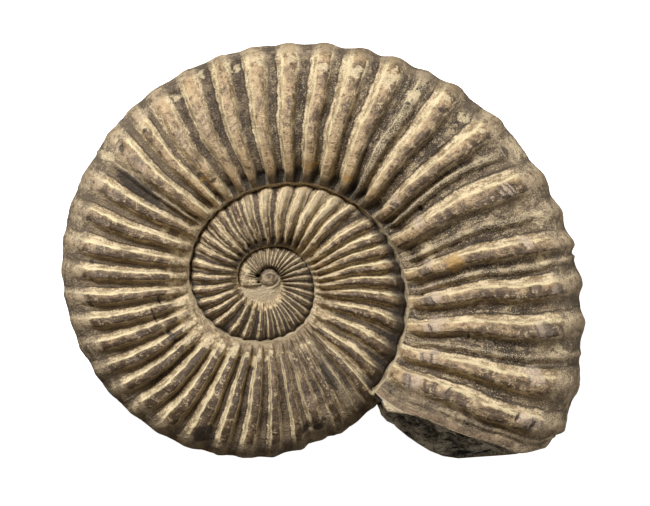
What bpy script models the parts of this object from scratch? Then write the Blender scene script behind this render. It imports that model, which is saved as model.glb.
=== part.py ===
"""Fossil ammonite: a flat coiled shell with strong ribs, filled with rock and broken off at its mouth.

Units are metres, +Z is up. The shell lies on one flank, with the other flank up and its mouth towards
+X and -Y. It is one solid: flanks, ribs and the rock in the mouth are fused.

A place on the shell is given by its bearing (degrees round the coil, measured from +X towards +Y) and
by its share of the flank, 0 at the seam with the turn inside it and 1 at the middle of the outer edge.
The shell grew towards lower bearings, so the bearing runs on past 360 degrees towards the centre.
"""

import math
from bisect import bisect_right

import bmesh
import bpy
from mathutils import Matrix, Vector, noise

MM = 0.001

# Growth of the coil: bearing in degrees and radius in millimetres, from the mouth to the centre.
SEAM_RADIUS = [
    (-48, 29.3), (-20, 27.8), (10, 25.3), (45, 22.1), (90, 18.2), (135, 16.1), (180, 14.8),
    (225, 13.1), (270, 11.5), (315, 10.7), (360, 9.1), (405, 7.9), (450, 6.6), (500, 6.1),
    (560, 5.1), (620, 4.1), (690, 3.0), (760, 2.0), (850, 1.1), (920, 0.7),
]
EDGE_RADIUS = [
    (-40, 61.8), (-33, 61.2), (-29.5, 62.6), (-26, 63.3), (-17, 62.3), (-10, 61.4), (15, 57.4),
    (45, 52.1), (70, 47.5), (90, 45.0), (135, 41.3), (180, 38.9), (225, 36.1), (270, 33.5),
    (315, 31.3), (325, 30.9),
]
TURN = 360.0
MOUTH_BEARING = -45.8
# Where the outer turn passes under the mouth, and where the inmost turn ends.
TUCK = TURN + MOUTH_BEARING
COIL_END = 915.0
# Share of an inner turn's flank that the next turn leaves in sight.
TUCKED_SHARE = 0.93
# Least share between the corner of the mouth and the next point of the column it joins.
CORNER_GAP = 0.04

# Section of the tube: half its thickness at the mouth, and how it swells between seam and edge.
HALF_THICKNESS = 14.6
THICKNESS_PER_TURN = 1.62
SEAM_HEIGHT = 0.46
TOP_SHARE = 0.40
INNER_SHOULDER = 0.40
OUTER_SHOULDER = 2.45

# Ribs of the outer turn: bearing near the seam, at mid flank and at the outer edge, half width in
# degrees, and height as a share of a full rib. The first is broken along its crest, at the lip, and
# the low ones are short riblets in the grooves.
OUTER_RIBS = [
    (-42.6, -38.6, -34.6, 2.0, 0.9),
    (-34.5, -31.0, -27.0, 2.6, 1.0), (-26.5, -22.7, -18.5, 2.4, 1.0), (-21.5, -17.5, -13.0, 0.7, 0.4),
    (-17.0, -11.5, -7.5, 2.4, 1.0), (-7.3, -2.9, -0.2, 2.3, 1.0), (-2.5, 2.4, 4.6, 0.75, 0.45),
    (3.3, 7.2, 7.0, 2.2, 1.0), (9.5, 14.0, 13.4, 0.95, 0.5), (17.5, 21.2, 20.8, 3.0, 1.0),
    (25.0, 29.3, 27.4, 0.8, 0.6), (30.5, 33.9, 35.2, 2.2, 1.0), (39.5, 43.6, 45.8, 2.4, 1.0),
    (45.5, 50.0, 52.5, 1.6, 0.65), (51.5, 57.3, 59.8, 2.6, 1.0), (61.0, 66.0, 67.6, 2.7, 1.0),
    (70.0, 74.2, 76.0, 2.5, 1.0), (79.0, 83.2, 84.6, 2.5, 1.0), (88.0, 92.2, 93.8, 2.7, 1.0),
    (98.5, 102.2, 102.4, 2.6, 1.0), (106.8, 111.7, 111.2, 2.6, 1.0), (116.2, 121.0, 120.8, 2.6, 1.0),
    (124.2, 128.4, 128.6, 2.1, 0.9), (133.6, 137.4, 136.2, 3.0, 1.0), (140.4, 142.3, 142.4, 0.7, 0.6),
    (147.2, 150.0, 150.2, 2.9, 1.0), (157.6, 159.8, 159.4, 2.8, 1.0), (168.0, 169.2, 168.8, 2.8, 1.0),
    (177.0, 177.8, 176.9, 2.6, 1.0), (186.0, 186.4, 184.6, 2.5, 1.0), (194.3, 194.6, 192.2, 2.5, 1.0),
    (202.2, 202.7, 200.2, 2.5, 1.0), (209.7, 210.8, 208.2, 2.4, 1.0), (217.4, 218.8, 216.0, 2.5, 1.0),
    (227.0, 228.0, 224.4, 2.9, 1.0), (235.6, 236.8, 233.8, 3.0, 1.0), (245.6, 246.0, 245.0, 3.1, 1.0),
    (255.4, 255.3, 254.6, 2.6, 1.0), (264.8, 264.8, 262.6, 2.7, 1.0), (273.8, 274.0, 272.4, 2.5, 1.0),
    (282.6, 282.4, 281.2, 2.1, 0.85), (290.0, 289.9, 289.0, 2.8, 1.0), (298.2, 298.4, 296.2, 2.1, 0.9),
    (304.6, 304.4, 302.4, 2.6, 0.55), (311.0, 312.4, 311.0, 2.4, 1.0),
]
# Ribs of the second turn, by their bearing at mid flank.
SECOND_RIBS = [
    319.8, 330.3, 341.8, 351.8, 359.8, 367.0, 374.8, 381.4, 389.4, 401.3, 409.8, 418.4, 428.3, 438.8,
    451.3, 464.0, 475.0, 486.0, 495.0, 505.5, 515.0, 527.5, 538.3, 549.3, 560.8, 571.0, 582.0, 597.5,
    610.0, 624.0, 635.0, 647.0, 659.5, 672.0,
]
# Shape of the ribs further in: swing at the seam and at the edge, half width and height.
SECOND_RIB_SHAPE = (-3.5, -1.0, 3.5, 0.9)
INNER_RIB_STEP = 13.0
INNER_RIB_SHAPE = (-2.0, -1.0, 3.6, 0.8)
# A rib's flat crest and its foot, in half widths from its middle, and the share where its root is.
CREST_HALF = 0.62
FOOT_HALF = 1.2
RIB_ROOT_SHARE = 0.08
# Depth of the grooves by bearing, as a share of the flank, and what is left of it at the outer edge.
RIB_RELIEF = [(-48, 0.062), (90, 0.066), (220, 0.078), (312, 0.088), (915, 0.088)]
EDGE_RELIEF = 0.32
EDGE_FADE_SHARE = 0.75
# The ribs begin at this share, and further out on the stretch where mud covers their roots.
BARE_SHARE = 0.01
MUDDY_SHARE = 0.13
MUDDY_FROM = 190.0

# The rock at the mouth: share of the flank and bearing of the shell's broken lip, flank up and down.
UPPER_LIP = [
    (0.0, -45.8), (0.2, -43.6), (0.3, -41.3), (0.47, -39.0), (0.62, -37.2), (0.78, -35.2), (0.93, -33.8),
    (1.0, -30.8),
]
LOWER_LIP = [
    (0.0, -45.8), (0.16, -48.8), (0.25, -48.6), (0.38, -47.5), (0.51, -45.9), (0.61, -43.8), (0.75, -39.3),
    (0.9, -35.2), (0.94, -34.0), (1.0, -30.8),
]
ROCK_ROUGHNESS = 2.6
ROCK_LUMP_SIZE = 5.5
ROCK_STEPS = 5

# Damage: bearing, share of the flank, radius and depth of each broken place, in millimetres.
CHIPS = [(28.0, 0.94, 3.0, 0.9), (205.0, 0.26, 3.2, 0.8), (221.0, 0.3, 2.2, 0.7), (288.0, 0.93, 3.4, 1.1)]
CHIP_WALL = 1.6

# Rows of points from seam to edge: outer turn, flank up and flank down, then the inner turns.
UPPER_SHARES = [0.0, 0.022, 0.08, 0.22, 0.45, 0.68, 0.86, 0.955, 1.0]
LOWER_SHARES = [0.0, 0.06, 0.2, 0.35, 0.52, 0.76, 0.93, 1.0]
UPPER_INNER_SHARES = [0.0, 0.05, 0.18, 0.48, 0.76, 0.895]
LOWER_INNER_SHARES = [0.0, 0.12, 0.48, 0.89]
# Rib lines of the lip, of the groove behind it and of the first column after that groove, the least
# degrees between columns in a groove, and how far back from the lip its own two columns lie.
LIP_LINE = -38.6
LIP_GROOVE_LINE = -34.8
FIRST_LINE = -36.0
LINE_GAP = 0.9
LIP_BACKS = [0.0, 0.5]
# The first chamber at the coil's centre: its place, and how high it stands on each flank.
HUB = (0.0, -0.5)
UPPER_HUB = 3.2
LOWER_HUB = 1.2

# How the fossil lies: the lean that brings its under flank down on its lowest ribs, worn flat there.
LEAN_ABOUT_X = -1.3
LEAN_ABOUT_Y = -1.7
WORN_DEPTH = 0.5
SMOOTH_ANGLE = 50.0

STONE_COLOUR = (0.262, 0.189, 0.112, 1.0)
STONE_ROUGHNESS = 0.62


def smooth_value(table, x):
    """Value at x of a smooth curve through the table's points, straight on past its ends."""
    places = [place for place, _ in table]
    i = min(max(bisect_right(places, x) - 1, 0), len(table) - 2)
    (x0, y0), (x1, y1) = table[i], table[i + 1]
    slope = (y1 - y0) / (x1 - x0)
    before = (y0 - table[i - 1][1]) / (x0 - table[i - 1][0]) if i > 0 else slope
    after = (table[i + 2][1] - y1) / (table[i + 2][0] - x1) if i + 2 < len(table) else slope
    t = min(max((x - x0) / (x1 - x0), 0.0), 1.0)
    start, end = (before + slope) / 2 * (x1 - x0), (slope + after) / 2 * (x1 - x0)
    inside = (
        y0 * (2 * t**3 - 3 * t**2 + 1) + start * (t**3 - 2 * t**2 + t)
        + y1 * (3 * t**2 - 2 * t**3) + end * (t**3 - t**2)
    )
    return inside + slope * (x - x0 - t * (x1 - x0))


def between(start, end, t):
    return start + (end - start) * t


def seam_radius(bearing):
    return smooth_value(SEAM_RADIUS, bearing)


def edge_radius(bearing):
    """Radius of the outer edge; inside the last turn the next turn hides the edge's last part."""
    if bearing < TUCK:
        return smooth_value(EDGE_RADIUS, bearing)
    seam = seam_radius(bearing)
    return seam + (seam_radius(bearing - TURN) - seam) / TUCKED_SHARE


def half_thickness(bearing):
    return HALF_THICKNESS * THICKNESS_PER_TURN ** ((MOUTH_BEARING - bearing) / TURN)


def section_point(bearing, share):
    """Radius and height of the smooth tube, without ribs."""
    seam = seam_radius(bearing)
    radius = seam + (edge_radius(bearing) - seam) * share
    top = half_thickness(bearing)
    foot = SEAM_HEIGHT * top
    if share < TOP_SHARE:
        rise = 1.0 - ((TOP_SHARE - share) / TOP_SHARE) ** 2
        return radius, foot + (top - foot) * rise**INNER_SHOULDER
    fall = (share - TOP_SHARE) / (1.0 - TOP_SHARE)
    return radius, top * max(1.0 - fall**OUTER_SHOULDER, 0.0) ** (1.0 / OUTER_SHOULDER)


def rib_list():
    """Ribs from mouth to centre: mid bearing, swing at the seam and at the edge, half width, height."""
    ribs = [(mid, root - mid, edge - mid, width, height) for root, mid, edge, width, height in OUTER_RIBS]
    ribs += [(mid, *SECOND_RIB_SHAPE) for mid in SECOND_RIBS]
    mid = SECOND_RIBS[-1] + INNER_RIB_STEP
    while mid < COIL_END - INNER_RIB_STEP:
        ribs.append((mid, *INNER_RIB_SHAPE))
        mid += INNER_RIB_STEP
    return ribs


# Step of share over which the slope of the section is measured.
SHARE_STEP = 0.004

RIBS = rib_list()
RIB_MIDS = [rib[0] for rib in RIBS]


def rib_swing(line, share):
    """Degrees by which the rib line that crosses mid flank at this bearing has swung at a share."""
    i = min(max(bisect_right(RIB_MIDS, line) - 1, 0), len(RIBS) - 2)
    t = min(max((line - RIB_MIDS[i]) / (RIB_MIDS[i + 1] - RIB_MIDS[i]), 0.0), 1.0)
    at_root = RIBS[i][1] + (RIBS[i + 1][1] - RIBS[i][1]) * t
    at_edge = RIBS[i][2] + (RIBS[i + 1][2] - RIBS[i][2]) * t
    if share < 0.5:
        return at_root * ((0.5 - share) / (0.5 - RIB_ROOT_SHARE)) ** 1.5
    return at_edge * ((share - 0.5) / 0.5) ** 1.5


def rib_height(line):
    """Height of the ribbing on a rib line, 1 on a full crest and 0 in a groove."""
    height = 0.0
    for mid, _, _, width, full in RIBS:
        away = abs(line - mid) / width
        if away < FOOT_HALF:
            height = max(height, full * min(1.0, (FOOT_HALF - away) / (FOOT_HALF - CREST_HALF)))
    return height


def rib_strength(bearing, share):
    """Depth of the grooves, in millimetres, at a place on the flank."""
    depth = smooth_value(RIB_RELIEF, bearing) * (edge_radius(bearing) - seam_radius(bearing))
    start = MUDDY_SHARE if MUDDY_FROM < bearing < TUCK else BARE_SHARE
    grow = min(share / (2.0 * start), 1.0)
    fade = max((share - EDGE_FADE_SHARE) / (1.0 - EDGE_FADE_SHARE), 0.0)
    return depth * grow * (1.0 - (1.0 - EDGE_RELIEF) * fade)


def chip_depth(bearing, share):
    """How deep, in millimetres, the upper flank is broken away at a place."""
    deepest = 0.0
    span = edge_radius(bearing) - seam_radius(bearing)
    radius = seam_radius(bearing) + span * share
    for chip_bearing, chip_share, size, depth in CHIPS:
        along = radius * math.radians(bearing - chip_bearing)
        away = math.hypot(along, span * (share - chip_share)) / size
        deepest = max(deepest, depth * min(1.0, CHIP_WALL * (1.0 - away)))
    return deepest


def shell_point(line, share, side, bearing=None):
    """Point of the ribbed surface in metres about the coil's centre; side is 1 up and -1 down."""
    if bearing is None:
        bearing = line + rib_swing(line, share)
    radius, height = section_point(bearing, share)
    radius_in, height_in = section_point(bearing, max(share - SHARE_STEP, 0.0))
    radius_out, height_out = section_point(bearing, min(share + SHARE_STEP, 1.0))
    across = Vector((radius_out - radius_in, height_out - height_in))
    out = Vector((-across.y, across.x)).normalized() if share < 1.0 else Vector((1.0, 0.0))
    cut = rib_strength(bearing, share) * (rib_height(line) - 1.0)
    if side > 0.0:
        cut -= chip_depth(bearing, share)
    radius += out.x * cut
    height = max(height + out.y * cut, 0.0)
    angle = math.radians(bearing)
    return Vector((radius * math.cos(angle), radius * math.sin(angle), side * height)) * MM


def column_lines(first, last):
    """Rib lines of the point columns: two on each crest and one or two in each groove."""
    lines = []
    ribs = [rib for rib in RIBS if first < rib[0] + rib[3] and rib[0] - rib[3] < last]
    for rib, after in zip(ribs, ribs[1:] + [None]):
        mid, width = rib[0], rib[3]
        lines += [mid - CREST_HALF * width, mid + CREST_HALF * width]
        if after is None:
            continue
        foot = mid + FOOT_HALF * width
        next_foot = after[0] - FOOT_HALF * after[3]
        if next_foot - foot > LINE_GAP:
            lines += [foot, next_foot]
        else:
            lines.append((foot + next_foot) / 2)
    return [line for line in lines if first < line < last]


def add_column(mesh, line, shares, side):
    return [mesh.verts.new(shell_point(line, share, side)) for share in shares]


def lip_point(lip, first_line, share, side, back):
    """Point of the lip, or with back above 0 a point of the groove between it and the first column."""
    first = first_line + rib_swing(first_line, share)
    bearing = between(smooth_value(lip, share), first, back)
    return shell_point(LIP_GROOVE_LINE if back > 0.0 else LIP_LINE, share, side, bearing)


def add_face(mesh, corners):
    """A face through the corners, leaving out repeated ones."""
    distinct = []
    for corner in corners:
        if corner not in distinct:
            distinct.append(corner)
    if len(distinct) > 2:
        mesh.faces.new(distinct)


def join_equal(mesh, left, right):
    """Quads between two rows with the same number of points."""
    for i in range(len(left) - 1):
        add_face(mesh, [left[i], right[i], right[i + 1], left[i + 1]])


def join_unlike(mesh, left, left_places, right, right_places):
    """Triangles between two rows whose points lie at different places along them."""
    i, j = 0, 0
    while i < len(left) - 1 or j < len(right) - 1:
        step_left = j == len(right) - 1 or (
            i < len(left) - 1 and left_places[i + 1] <= right_places[j + 1]
        )
        if step_left:
            add_face(mesh, [left[i], right[j], left[i + 1]])
            i += 1
        else:
            add_face(mesh, [left[i], right[j], right[j + 1]])
            j += 1


def seam_places(lines, share):
    """Bearings of the columns at a share of the flank."""
    return [line + rib_swing(line, share) for line in lines]


def add_hub(mesh, ring, side):
    """The shell's first chamber, which closes the middle of the coil."""
    hub = mesh.verts.new(Vector((*HUB, UPPER_HUB if side > 0.0 else -LOWER_HUB)) * MM)
    for here, there in zip(ring, ring[1:] + ring[:1]):
        add_face(mesh, [hub, there, here])


def add_flank(mesh, side, shares, inner_shares, lip, lines, edge_row):
    """One flank of the whole coil. Returns its two rows that the mouth's rock reaches between."""
    outer = []
    for back, edge_point in zip(LIP_BACKS, edge_row):
        points = [lip_point(lip, lines[0], share, side, back) for share in shares[:-1]]
        outer.append([mesh.verts.new(point) for point in points] + [edge_point])
    for line, edge_point in zip(lines, edge_row[len(LIP_BACKS) :]):
        outer.append(add_column(mesh, line, shares[:-1], side) + [edge_point])
    for left, right in zip(outer, outer[1:]):
        join_equal(mesh, right, left)

    # The outer turn ends at the tuck, where the corner of the mouth joins its last column.
    corner = outer[0][0]
    below_shares = [share for share in shares if share < TUCKED_SHARE - CORNER_GAP]
    beyond_shares = [share for share in shares if share > TUCKED_SHARE]
    below = add_column(mesh, TUCK, below_shares, side) + [corner]
    below_shares.append(TUCKED_SHARE)
    beyond = [corner] + add_column(mesh, TUCK, beyond_shares[:-1], side) + edge_row[-1:]
    join_unlike(mesh, below + beyond[1:], below_shares + beyond_shares, outer[-1], shares)

    inner_lines = column_lines(TUCK + LINE_GAP, COIL_END)
    inner = [add_column(mesh, line, inner_shares, side) for line in inner_lines]
    join_unlike(mesh, inner[0], inner_shares, below, below_shares)
    for left, right in zip(inner, inner[1:]):
        join_equal(mesh, right, left)

    # The seam between each turn and the one inside it.
    seam = [column[0] for column in outer + [below] + inner]
    places = [MOUTH_BEARING] * len(LIP_BACKS) + seam_places(lines + [TUCK] + inner_lines, 0.0)
    edge = [corner] + [column[-1] for column in inner]
    edge_places = [MOUTH_BEARING] + [place - TURN for place in seam_places(inner_lines, inner_shares[-1])]
    reach = sum(place <= edge_places[-1] for place in places)
    join_unlike(mesh, edge, edge_places, seam[:reach], places[:reach])
    add_hub(mesh, seam[reach - 1 :] + inner[-1][1:], side)
    return outer[0], beyond


def add_rock(mesh, lip, hollow):
    """The rough rock in the mouth, between the broken lip and the turn of the shell inside it."""
    lip_places = [i / (len(lip) - 1) for i in range(len(lip))]
    hollow_places = [i / (len(hollow) - 1) for i in range(len(hollow))]
    rows = [lip]
    for step in range(1, ROCK_STEPS):
        row = [lip[0]]
        for i in range(1, len(lip) - 1):
            place = lip_places[i] * (len(hollow) - 1)
            k = min(int(place), len(hollow) - 2)
            inner = between(hollow[k].co, hollow[k + 1].co, place - k)
            point = between(lip[i].co, inner, step / ROCK_STEPS)
            ahead = Vector((point.y, -point.x, 0.0)).normalized()
            lump = noise.noise(point / (ROCK_LUMP_SIZE * MM)) * ROCK_ROUGHNESS
            row.append(mesh.verts.new(point + ahead * lump * MM))
        row.append(lip[-1])
        rows.append(row)
    for left, right in zip(rows, rows[1:]):
        join_equal(mesh, left, right)
    join_unlike(mesh, rows[-1], lip_places, hollow, hollow_places)


def build_shell():
    mesh = bmesh.new()
    lines = column_lines(FIRST_LINE, TUCK - LINE_GAP)
    edge_row = [mesh.verts.new(lip_point(UPPER_LIP, lines[0], 1.0, 1.0, back)) for back in LIP_BACKS]
    edge_row += [mesh.verts.new(shell_point(line, 1.0, 1.0)) for line in lines]
    edge_row.append(mesh.verts.new(shell_point(TUCK, 1.0, 1.0, TUCK)))
    upper_lip, upper_beyond = add_flank(
        mesh, 1.0, UPPER_SHARES, UPPER_INNER_SHARES, UPPER_LIP, lines, edge_row
    )
    lower_lip, lower_beyond = add_flank(
        mesh, -1.0, LOWER_SHARES, LOWER_INNER_SHARES, LOWER_LIP, lines, edge_row
    )
    add_rock(mesh, upper_lip + lower_lip[-2::-1], upper_beyond + lower_beyond[-2::-1])
    return mesh


def lay_down(mesh):
    """Lean the coil, wear its lowest rib crests flat and set it on the ground about its middle."""
    about_x = Matrix.Rotation(math.radians(LEAN_ABOUT_X), 4, "X")
    about_y = Matrix.Rotation(math.radians(LEAN_ABOUT_Y), 4, "Y")
    bmesh.ops.transform(mesh, matrix=about_x @ about_y, verts=mesh.verts)
    ground = min(vertex.co.z for vertex in mesh.verts) + WORN_DEPTH * MM
    xs = [vertex.co.x for vertex in mesh.verts]
    ys = [vertex.co.y for vertex in mesh.verts]
    middle = Vector(((min(xs) + max(xs)) / 2, (min(ys) + max(ys)) / 2, ground))
    for vertex in mesh.verts:
        vertex.co -= middle
        vertex.co.z = max(vertex.co.z, 0.0)


def main():
    for item in list(bpy.data.objects):
        bpy.data.objects.remove(item)
    mesh = build_shell()
    lay_down(mesh)
    bmesh.ops.triangulate(mesh, faces=mesh.faces)
    bmesh.ops.recalc_face_normals(mesh, faces=mesh.faces)
    data = bpy.data.meshes.new("ammonite")
    mesh.to_mesh(data)
    mesh.free()
    data.shade_smooth()
    data.set_sharp_from_angle(angle=math.radians(SMOOTH_ANGLE))
    material = bpy.data.materials.new("fossil_stone")
    material.use_nodes = True
    surface = material.node_tree.nodes["Principled BSDF"]
    surface.inputs["Base Color"].default_value = STONE_COLOUR
    surface.inputs["Roughness"].default_value = STONE_ROUGHNESS
    surface.inputs["Metallic"].default_value = 0.0
    data.materials.append(material)
    ammonite = bpy.data.objects.new("ammonite", data)
    collection = bpy.data.collections.new("ammonite_fossil")
    bpy.context.scene.collection.children.link(collection)
    collection.objects.link(ammonite)


main()
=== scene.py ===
"""A fossil ammonite lying on one flank on a pale floor, seen straight down the axis of its coil.

A place on the shell is its rib line (the bearing in degrees at which the line along the ribs crosses
mid flank) and its share of the flank, 0 at the seam with the turn inside and 1 at the outer edge.
Bearings run on past 360 degrees towards the centre of the coil. Lengths are in millimetres.
"""

import math
from itertools import product

import bpy
import numpy as np
from mathutils import Matrix, Vector


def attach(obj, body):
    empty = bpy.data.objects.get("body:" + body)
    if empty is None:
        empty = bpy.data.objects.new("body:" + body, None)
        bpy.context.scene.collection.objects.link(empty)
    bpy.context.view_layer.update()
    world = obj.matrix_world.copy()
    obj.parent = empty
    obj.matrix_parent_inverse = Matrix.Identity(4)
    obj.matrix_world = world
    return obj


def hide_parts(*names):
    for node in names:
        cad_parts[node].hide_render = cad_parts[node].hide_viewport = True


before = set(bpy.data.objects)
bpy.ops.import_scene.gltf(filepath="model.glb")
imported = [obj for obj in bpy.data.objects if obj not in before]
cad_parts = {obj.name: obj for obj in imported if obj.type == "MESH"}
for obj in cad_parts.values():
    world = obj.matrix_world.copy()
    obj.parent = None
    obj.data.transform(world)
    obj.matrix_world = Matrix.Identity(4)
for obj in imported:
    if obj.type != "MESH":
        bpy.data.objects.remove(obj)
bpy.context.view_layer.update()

MM = 0.001
TURN = 360.0

# ---------------------------------------------------------------- the coil
SEAM_RADIUS = np.array([
    (-48, 29.4), (-20, 28.1), (10, 25.5), (45, 22.1), (90, 18.2), (135, 16.1), (180, 14.8),
    (225, 13.1), (270, 11.5), (315, 10.7), (360, 9.1), (405, 7.9), (450, 6.6), (500, 6.1),
    (560, 5.1), (620, 4.1), (690, 3), (760, 2), (850, 1.1), (920, 0.7),
])
EDGE_RADIUS = np.array([
    (-40, 61.8), (-33, 61.2), (-29.5, 62.6), (-26, 63.3), (-17, 62.3), (-10, 61.4), (15, 57.4),
    (45, 52.1), (70, 47.5), (90, 45), (135, 41.3), (180, 38.9), (225, 36.1), (270, 33.5),
    (315, 31.3), (325, 30.9),
])
MOUTH_BEARING = -45.8
TUCK = TURN + MOUTH_BEARING
COIL_END = 915.0
TUCKED_SHARE = 0.93

HALF_THICKNESS = 14.6
THICKNESS_PER_TURN = 1.62
SEAM_HEIGHT = 0.46
TOP_SHARE = 0.40
OUTER_SHOULDER = 2.45

# Ribs of the outer turn: bearing near the seam, at mid flank and at the outer edge, half width in
# degrees, and height as a share of a full rib. The low ones are short riblets in the grooves.
OUTER_RIBS = [
    (-42.6, -38.6, -34.6, 2, 0.6), (-39, -35.2, -31, 0.7, 0.3),
    (-34.5, -31, -27, 2.6, 1), (-26.5, -22.7, -18.5, 2.4, 1), (-21.5, -17.5, -13, 0.7, 0.4),
    (-17, -11.5, -7.5, 2.4, 1), (-7.3, -2.9, -0.2, 2.3, 1), (-2.5, 2.4, 4.6, 0.75, 0.45),
    (3.3, 7.2, 7, 2.2, 1), (9.5, 14, 13.4, 0.95, 0.5), (17.5, 21.2, 20.8, 3, 1),
    (25, 29.3, 27.4, 0.8, 0.6), (30.5, 33.9, 35.2, 2.2, 1), (39.5, 43.6, 45.8, 2.4, 1),
    (45.5, 50, 52.5, 1.6, 0.65), (51.5, 57.3, 59.8, 2.6, 1), (61, 66, 67.6, 2.7, 1),
    (70, 74.2, 76, 2.5, 1), (79, 83.2, 84.6, 2.5, 1), (88, 92.2, 93.8, 2.7, 1),
    (98.5, 102.2, 102.4, 2.6, 1), (106.8, 111.7, 111.2, 2.6, 1), (116.2, 121, 120.8, 2.6, 1),
    (124.2, 128.4, 128.6, 2.1, 0.9), (133.6, 137.4, 136.2, 3, 1), (140.4, 142.3, 142.4, 0.7, 0.6),
    (147.2, 150, 150.2, 2.9, 1), (157.6, 159.8, 159.4, 2.8, 1), (168, 169.2, 168.8, 2.8, 1),
    (177, 177.8, 176.9, 2.6, 1), (186, 186.4, 184.6, 2.5, 1), (194.3, 194.6, 192.2, 2.5, 1),
    (202.2, 202.7, 200.2, 2.5, 1), (209.7, 210.8, 208.2, 2.4, 1), (217.4, 218.8, 216, 2.5, 1),
    (227, 228, 224.4, 2.9, 1), (235.6, 236.8, 233.8, 3, 1), (245.6, 246, 245, 3.1, 1),
    (255.4, 255.3, 254.6, 2.6, 1), (264.8, 264.8, 262.6, 2.7, 1), (273.8, 274, 272.4, 2.5, 1),
    (282.6, 282.4, 281.2, 2.1, 0.85), (290, 289.9, 289, 2.8, 1), (298.2, 298.4, 296.2, 2.1, 0.9),
    (304.6, 304.4, 302.4, 2.6, 0.75), (311, 312.4, 311, 2.4, 1),
]
# Riblets that swell to full ribs at the outer edge.
RIM_BUMPS = (14.0, 29.3)
RIM_BUMP_WIDTH = 2.3
# Ribs of the turns inside, by their bearing at mid flank; the inmost ones are evenly spaced.
SECOND_RIBS = [
    319.8, 330.3, 341.8, 351.8, 359.8, 367, 374.8, 381.4, 389.4, 401.3, 409.8, 418.4, 428.3, 438.8,
    451.3, 464, 475, 486, 495, 505.5, 515, 527.5, 538.3, 549.3, 560.8, 571, 582, 597.5,
    610, 624, 635, 647, 659.5, 672,
]
SECOND_HALF_WIDTH = 3.5
THIRD_RIBS = [682, 692, 703, 714, 725, 736, 746]
INNER_RIB_STEP = 8.5
INNER_HALF_WIDTH = 2.9
RIB_ROOT_SHARE = 0.08
# Bearing of the window light. The side of each rib that faces it is painted paler, as lit, and the
# far side darker, as shaded.
LIGHT_BEARING = 118.0
# Depth of the grooves as a share of the flank's width, by bearing.
RIB_RELIEF = np.array([(-48, 0.062), (90, 0.066), (220, 0.078), (312, 0.088), (915, 0.088)])
# How much of the ribs' relief is left at the outer edge, how blunt the inner wall is, and how far out
# from the seam the ribs begin, by bearing.
EDGE_RELIEF = np.array([(-48, 0.42), (45, 0.40), (90, 0.28), (125, 0.16), (240, 0.14), (312, 0.20)])
INNER_SHOULDER = np.array([(-48, 0.40), (20, 0.40), (60, 0.62), (130, 0.62), (165, 0.42), (915, 0.40)])
BARE_SHARE = np.array([
    (-48, 0.014), (186, 0.014), (196, 0.13), (232, 0.13), (248, 0.035), (330, 0.01), (915, 0.01),
])
# Where the crests begin to round off and the relief to fade, towards the outer edge.
ROUND_SHARE = 0.72
CREVICE_DEPTH = 1.1
CREVICE_END = 800.0
SEAM_RIDGE = 0.22
SEAM_RIDGE_END = TUCK + 330.0
# Random swellings of the shell and of the rock in the mouth: depth and size.
SHELL_LUMPS = [(0.20, 4.0), (0.12, 1.4), (0.05, 0.6)]
ROCK_LUMPS = [(2.2, 5.5), (0.9, 2.1), (0.35, 0.9)]

# Broken lip of the shell round the mouth: share of the flank and bearing.
UPPER_LIP = np.array([
    (0, -45.8), (0.2, -43.6), (0.3, -41.3), (0.47, -39), (0.62, -37.2), (0.78, -35.2), (0.93, -33.8),
    (1, -30.8),
])
LOWER_LIP = np.array([
    (0, -45.8), (0.16, -48.8), (0.25, -48.6), (0.38, -47.5), (0.51, -45.9), (0.61, -43.8), (0.75, -39.3),
    (0.9, -35.2), (0.94, -34), (1, -30.8),
])
LIP_LINE = -38.4
LIP_PULL = 9.0

# How the fossil lies: where the coil's centre is in the frame, and the lean of its axis.
COIL_CENTRE = (-10.73, -5.68, 12.37)
LEAN_ABOUT_X = -1.3
LEAN_ABOUT_Y = -1.7

# Damage and patches: bearing, share, half width round the coil and half length along the rib in
# millimetres. Chips are in the upper flank alone, and have a depth in millimetres too.
CHIPS = [
    (28, 0.94, 3, 3, 0.9), (205, 0.26, 3.2, 3.2, 0.8), (221, 0.3, 2.2, 2.2, 0.7),
    (288, 0.93, 3.4, 3.4, 1.1), (209.5, 0.29, 2.2, 1, 0.9), (197, 0.33, 2.2, 0.8, 0.8),
    (137.6, 0.84, 1.1, 0.9, 0.6), (51.5, 0.74, 1, 0.6, 0.5), (25.5, 0.24, 1, 0.8, 0.7),
    (118, 0.18, 1.3, 0.8, 0.5), (-28.5, 0.83, 1.4, 0.5, 0.4), (-28.5, 0.74, 1.3, 0.5, 0.4),
    (-4, 0.24, 2.4, 2.4, 0.35), (-14, 0.26, 2.2, 2, 0.35), (-32, 0.27, 2.2, 2.2, 0.35),
    (39.9, 0.83, 0.8, 0.7, 0.5), (179.2, 0.78, 1, 0.6, 0.4), (189.5, 0.25, 1.6, 0.6, 0.5),
]
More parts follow.
